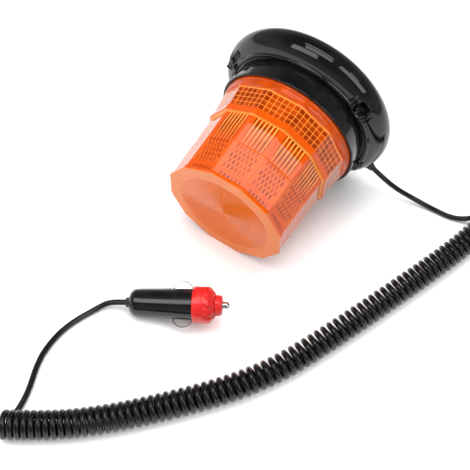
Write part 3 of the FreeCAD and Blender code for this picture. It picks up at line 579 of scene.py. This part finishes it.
# The raised share, the painted glints and the painted shade are marked on both surfaces and on the
# end's disc.
for name, outer, inner in (
        ("raised", np.vstack([np.outer(face_raised_and_groove_shade[::-1], ones), across[::-1]]), shares),
        ("painted_glint", np.concatenate([np.full(len(face_raised_and_groove_shade), 0.25), np.interp(levels, heights, painted_glints)[::-1]]),
         painted_glints),
        ("shade", np.concatenate([np.full(len(face_raised_and_groove_shade), 0.45),
                                  np.interp(levels, heights, shades)[::-1]]), shades)):
    if outer.ndim == 1:
        outer, inner = np.outer(outer, ones), np.outer(inner, ones)
    values = np.concatenate([outer.ravel(), inner.ravel(), np.outer(rest, ones).ravel() * 0.6,
                             [0.6, 0.6]])
    marks = lens.data.attributes.new(name, "FLOAT", "POINT")
    marks.data.foreach_set("value", values)
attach(lens, "beacon")
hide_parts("lens")

# ------------------------------------------------------------------ the lamps behind the lens
# A white moulded tower stands on the driver board and carries six upright boards of five yellow
# LEDs and a round one of seven, all in dark green solder resist.
give(material("white_moulding", grained((0.70, 0.70, 0.67), (0.78, 0.78, 0.75), 80.0, 0.4, 0.15,
                                        0.00002)), "led_tower")


def paint_board(start):
    """Dark green resist: fine copper runs show through as slightly lighter bands."""
    place = start.node("ShaderNodeTexCoord", out="Object")
    runs = start.node("ShaderNodeTexWave", {"wave_type": "BANDS", "bands_direction": "DIAGONAL"},
                      {"Vector": place, "Scale": 240.0, "Distortion": 4.0, "Detail": 1.0}, 1)
    return {"Base Color": start.blend(runs.step(0.55, 0.65), (0.010, 0.022, 0.013, 1.0),
                                      (0.020, 0.045, 0.022, 1.0)),
            "Roughness": 0.32 + start.noise(200.0) * 0.1,
            "Normal": runs.bump(0.2, 0.00003)}


def paint_led(start):
    """Yellow phosphor under clear resin, deeper yellow where it is thicker."""
    cloud = start.noise(400.0, 2.0)
    return {"Base Color": start.blend(cloud, (0.95, 0.62, 0.06, 1.0), (1.0, 0.74, 0.14, 1.0)),
            "Roughness": 0.12 + cloud * 0.1,
            "Normal": cloud.bump(0.1, 0.00003)}


give(material("lamp_board", paint_board), "side_led_boards", "top_led_board")
give(material("driver_resist", paint_board, Specular_IOR_Level=0.4), "driver_board")
give(material("led_phosphor", paint_led, Coat_Weight=0.6), "side_leds", "top_leds")

# ------------------------------------------------------------------ the driver's parts
# Ordinary parts soldered to the driver board: sleeved capacitors, a wound choke, moulded chips
# and a green screw terminal, with bright zinc screws.
give(material("sleeve", grained((0.012, 0.012, 0.02), (0.02, 0.02, 0.03), 90.0, 0.25, 0.1,
                                0.00002)), "driver_capacitors")
give(material("sintered_ferrite", grained((0.03, 0.03, 0.033), (0.06, 0.06, 0.062), 500.0, 0.5,
                                          0.3, 0.00005)), "driver_inductor", "ring_magnet")
give(material("chip_epoxy", grained((0.012, 0.012, 0.012), (0.025, 0.025, 0.025), 700.0, 0.55,
                                    0.2, 0.00003)), "driver_chips")
give(material("green_nylon", grained((0.03, 0.24, 0.08), (0.05, 0.32, 0.11), 120.0, 0.4, 0.15,
                                     0.00002)), "board_terminal")
give(material("bright_zinc", grained((0.52, 0.52, 0.53), (0.66, 0.66, 0.68), 300.0, 0.22, 0.2,
                                     0.00002), Metallic=1.0),
     "board_screws", "cover_screws", "steel_yoke")

# ------------------------------------------------------------------ the underside and seals
# A matt cover closes the base behind a ring magnet, and a thin rubber pad keeps the roof paint
# from being scratched.  A rubber ring seals the lens and a grommet the cord.
give(material("matt_cover", grained((0.018, 0.018, 0.019), (0.032, 0.032, 0.033), 220.0, 0.5,
                                    0.2, 0.00004)), "bottom_cover", "cord_clamp")
pad_rubber = material("pad_rubber", grained((0.010, 0.010, 0.010), (0.024, 0.024, 0.024), 350.0,
                                            0.65, 0.25, 0.00008))
give(pad_rubber, "rubber_pad", "lens_gasket")
give(material("grommet_rubber", grained((0.008, 0.008, 0.008), (0.018, 0.018, 0.018), 300.0,
                                        0.4, 0.2, 0.00004)), "cord_grommet", "plug_ferrule")
give(material("red_insulation", grained((0.42, 0.015, 0.012), (0.55, 0.03, 0.025), 200.0, 0.35,
                                        0.15, 0.00002)), "cord_cores")

# ------------------------------------------------------------------ the cord
# One length of round black PVC cable: a short straight lead out of the base, a long stretch
# wound on a mandrel into a tight curly cord, and a straight tail into the plug.
CORD_RADIUS = 1.7 * MM
COIL_RADIUS = 8.0 * MM - CORD_RADIUS
LOOSE_PITCH = 4.9 * MM
TIGHT_PITCH = 3.55 * MM
TIGHT_FROM = 0.55
LEAN = (0.1, 0.62, 0.18)
POINTS_A_TURN = 14
LEAD_ROUTE = (
    (0.0373, 0.0453, 0.0328), (0.0517, 0.0471, 0.0240), (0.0680, 0.0506, 0.0138),
    (0.0800, 0.0580, 0.0054), (0.0935, 0.0612, 0.0017), (0.1070, 0.0620, 0.0017),
    (0.1150, 0.0652, 0.0028), (0.1205, 0.0668, 0.0070), (0.1255, 0.0680, 0.0120),
)
CURL_ROUTE = (
    (0.1302, 0.0700), (0.1251, 0.0458), (0.1160, 0.0150), (0.1063, -0.0145),
    (0.0965, -0.0440), (0.0866, -0.0725), (0.0736, -0.1065), (0.0570, -0.1345),
    (0.0348, -0.1630), (0.0136, -0.1875), (-0.0082, -0.2076), (-0.0274, -0.2201),
)
TAIL_ROUTE = (
    (-0.0278, -0.2125, 0.0017), (-0.0284, -0.2050, 0.0017), (-0.0302, -0.1965, 0.0017),
    (-0.0332, -0.1885, 0.0017), (-0.0362, -0.1815, 0.0017), (-0.0394, -0.1710, 0.0018),
    (-0.0402, -0.1560, 0.0017), (-0.0378, -0.1435, 0.0017), (-0.0333, -0.1315, 0.0019),
    (-0.0299, -0.1248, 0.0039), (-0.02472, -0.12135, 0.00553), (-0.01455, -0.11631, 0.00794),
)


def spline(name, points, bevel=0.0):
    """A curve object of one open quadratic NURBS with these control points."""
    curve = bpy.data.curves.new(name, "CURVE")
    curve.dimensions = "3D"
    line = curve.splines.new("NURBS")
    line.points.add(len(points) - 1)
    flat = np.column_stack([points, np.ones(len(points))])
    line.points.foreach_set("co", flat.ravel())
    line.order_u = 3
    line.use_endpoint_u = True
    line.resolution_u = 3
    curve.bevel_depth = bevel
    curve.bevel_resolution = 4
    curve.use_fill_caps = True
    made = bpy.data.objects.new(name, curve)
    bpy.context.scene.collection.objects.link(made)
    return made


def line_of(points):
    """The points of the NURBS line that these control points give."""
    guide = spline("guide", points)
    guide.data.splines[0].resolution_u = 24
    mesh = bpy.data.meshes.new_from_object(guide)
    line = np.empty(len(mesh.vertices) * 3)
    mesh.vertices.foreach_get("co", line)
    bpy.data.objects.remove(guide)
    return line.reshape(-1, 3)


def coil_turns(route, radius, height):
    """Control points of a left-handed helix whose axis is the route's NURBS line.

    A turn is LOOSE_PITCH long, and past TIGHT_FROM of the way it closes up to TIGHT_PITCH.  A
    point is the axis plus radius times (-cos a, up) and (sin a, side), with side the axis's
    direction crossed with up, and a running from half a turn, at the top, to a whole number of
    turns, at the bottom.  The radius is first divided by the cosine of half a step, because the
    line cuts inside its control points.  The turns lean: a point is moved along the axis by LEAN
    times its height above the axis.
    """
    axis = line_of([(x, y, height) for x, y in route])
    steps = np.linalg.norm(np.diff(axis, axis=0), axis=1)
    along = np.concatenate([[0.0], np.cumsum(steps)])
    share = along / along[-1]
    closing = np.clip((share - TIGHT_FROM) / (1.0 - TIGHT_FROM), 0.0, 1.0)
    pitch = LOOSE_PITCH + (TIGHT_PITCH - LOOSE_PITCH) * closing
    wound = np.concatenate([[0.0], np.cumsum(steps / pitch[1:])])
    turns = round(wound[-1])
    angle = np.linspace(np.pi, 2 * np.pi * turns, int((turns - 0.5) * POINTS_A_TURN) + 1)
    place = np.interp((angle - np.pi) / (angle[-1] - np.pi) * wound[-1], wound, along)
    middle = np.column_stack([np.interp(place, along, axis[:, k]) for k in range(3)])
    ahead = np.gradient(middle, axis=0)
    ahead /= np.linalg.norm(ahead, axis=1)[:, None]
    up = np.array([0.0, 0.0, 1.0])
    side = np.cross(ahead, up)
    reach = radius / math.cos(math.pi / POINTS_A_TURN)
    rise = -reach * np.cos(angle)[:, None]
    lean = np.interp(place / along[-1], (0.0, 0.05, 1.0), LEAN)[:, None]
    return middle + rise * up + reach * np.sin(angle)[:, None] * side + rise * lean * ahead


def paint_cable(start):
    """Black PVC: nearly black, with a fine satin grain that catches the light unevenly."""
    grain = start.noise(900.0)
    cloud = start.noise(60.0)
    return {"Base Color": start.blend(cloud, (0.004, 0.004, 0.004, 1.0), (0.009, 0.009, 0.009, 1.0)),
            "Roughness": 0.13 + grain * 0.08,
            "Normal": grain.bump(0.25, 0.00005)}


cable = material("black_pvc", paint_cable, Specular_IOR_Level=0.38)
turns = coil_turns(CURL_ROUTE, COIL_RADIUS, COIL_RADIUS + CORD_RADIUS + 0.05 * MM)
cord = spline("curly_cord", np.vstack([LEAD_ROUTE, turns, TAIL_ROUTE]), CORD_RADIUS)
cord.data.materials.append(cable)
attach(cord, "beacon")
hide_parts("cord_lead", "cord_curl", "cord_tail")

# ------------------------------------------------------------------ the plug
# A 12 V vehicle plug: a black barrel with two sprung side contacts, a red fluted cap, a red
# nose ring that unscrews for the fuse, and a nickel tip.
BARREL_REAR = 8.2
BARREL_FRONT = 9.4
CAP_RADIUS = 10.5
CAP_START = 37.3
WINDOW_SIDE = 2.7
WINDOW_DEPTH = (5.0, 13.0)
WINDOW_LENGTH = (24.0, 39.6)
FLUTES = 10
FLUTE_DEPTH = 1.1


def paint_red(start):
    """Red ABS with soft clouding, a little darker where the colour has settled."""
    cloud = start.noise(120.0)
    return {"Base Color": start.blend(cloud, (0.50, 0.008, 0.008, 1.0), (0.62, 0.016, 0.013, 1.0)),
            "Roughness": 0.2 + cloud * 0.1,
            "Normal": start.noise(500.0, 2.0).bump(0.2, 0.00003)}


def cap_rows(angles):
    """The cap: a plain band, then a shoulder with slanting flutes pressed into it.

    The radius of a row is lowered by FLUTE_DEPTH times a hollow that repeats FLUTES times round
    and turns with height, and that fades in above the band's end.
    """
    profile = [(7.7, 40.0), (9.6, 39.6), (9.7, 37.5), (10.0, CAP_START), (10.35, 37.45),
               (CAP_RADIUS, 37.8), (CAP_RADIUS, 40.0), (CAP_RADIUS, 42.3), (10.35, 42.5),
               (10.35, 42.8), (CAP_RADIUS, 43.0), (CAP_RADIUS, 43.6)]
    profile += [(CAP_RADIUS, 43.6 + 0.3 * step) for step in range(1, 10)]
    profile += [(10.2, 46.8), (9.7, 47.3), (9.0, 47.9), (8.3, 48.5), (7.6, 49.1), (7.0, 49.6),
                (6.6, 49.85), (6.2, 50.0), (5.2, 50.0), (4.95, 49.8), (4.95, 44.0), (7.5, 43.8)]
    rows = turned(profile, angles)
    height = rows[..., 2]
    wave = np.cos(FLUTES * (angles - np.radians(25.0) * (height - 43.4) / 6.0))
    hollow = FLUTE_DEPTH * soft_step(height, 43.4, 46.8) * soft_step(wave, 0.1, 1.0)
    outer = (np.arange(len(profile)) > 4) & (np.arange(len(profile)) < len(profile) - 5)
    rows[..., :2] *= (1.0 - hollow * outer[:, None] / CAP_RADIUS)[..., None]
    return rows


around = np.linspace(0.0, 2.0 * np.pi, 240, endpoint=False)
plug_black = material("plug_black", grained((0.004, 0.004, 0.004), (0.008, 0.008, 0.008), 150.0,
                                            0.12, 0.06, 0.00001))
plug_red = material("plug_red", paint_red)
nickel = material("bright_nickel", grained((0.72, 0.70, 0.66), (0.82, 0.80, 0.77), 260.0, 0.08,
                                           0.1, 0.00001), Metallic=1.0)
barrel_shape = [(1.8, 0.0), (3.4, 0.0)] + arc(3.4, 4.9, 4.7, -82.0, -4.0, 16)
barrel_shape += [(BARREL_REAR + (BARREL_FRONT - BARREL_REAR) * step / 10.0, 5.5 + 3.17 * step)
                 for step in range(11)]
barrel_shape += [(7.6, 37.2), (7.6, 43.0), (6.6, 43.0), (6.6, 8.0), (1.8, 8.0)]
barrel = skin("plug_barrel_moulded", turned(barrel_shape, around), plug_lies, plug_black)


def block(name, low, high, lies, finish):
    """A closed box between two corners in the maker's axes."""
    ring = np.array([[low[0], low[1]], [high[0], low[1]], [high[0], high[1]], [low[0], high[1]]])
    rows = np.array([np.column_stack([ring, np.full(4, z)]) for z in (low[2], high[2])])
    return skin(name, rows, lies, finish, loop=False)


inner, outer = WINDOW_DEPTH
start, end = WINDOW_LENGTH
carve(barrel, block("left_window", (-WINDOW_SIDE, inner, start), (WINDOW_SIDE, outer, end),
                    plug_lies, plug_black),
      block("right_window", (-WINDOW_SIDE, -outer, start), (WINDOW_SIDE, -inner, end),
            plug_lies, plug_black))
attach(barrel, "beacon")
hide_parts("plug_barrel")

cap = skin("plug_cap_fluted", cap_rows(around), plug_lies, plug_red)
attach(cap, "beacon")
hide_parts("plug_red_cap")

nose_shape = [(4.1, 44.2), (4.7, 44.2), (4.7, 50.1), (5.7, 50.1), (5.95, 50.3)]
nose_shape += arc(3.85, 51.85, 2.1, 0.0, 80.0, 12) + [(3.2, 53.98), (2.5, 53.9), (2.4, 53.6),
                                                  (2.4, 52.4), (4.1, 52.4)]
nose_rows = turned(nose_shape, around)
gripped = soft_step(np.cos(12.0 * around), 0.5, 1.0)[None, :] * np.array(
    [0.3 if 50.2 < height < 53.4 and radius > 5.0 else 0.0 for radius, height in nose_shape])[:, None]
nose_rows[..., :2] *= (1.0 - gripped / 6.0)[..., None]
nose = skin("plug_nose_turned", nose_rows, plug_lies, plug_red)
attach(nose, "nose_ring")
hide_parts("plug_nose_ring")

tip_shape = [(3.8, 49.0), (3.8, 52.1), (2.3, 52.1), (2.3, 55.9)] + arc(0.0, 55.9, 2.3, 5.0, 86.0, 14)
tip = skin("plug_tip_domed", turned(tip_shape, around), plug_lies, nickel, loop=False)
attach(tip, "tip")
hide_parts("plug_tip")

give(nickel, "plug_fuse_ends", "fuse_spring", "contact_spring_left", "contact_spring_right")
give(material("fuse_glass", grained((0.86, 0.9, 0.92), (0.94, 0.96, 0.97), 90.0, 0.02, 0.03),
              Transmission_Weight=0.9, IOR=1.5), "plug_fuse_glass")
give(material("bare_brass", grained((0.66, 0.46, 0.19), (0.76, 0.56, 0.26), 240.0, 0.22, 0.2,
                                    0.00002), Metallic=1.0), "spring_seat", "contact_bridge")
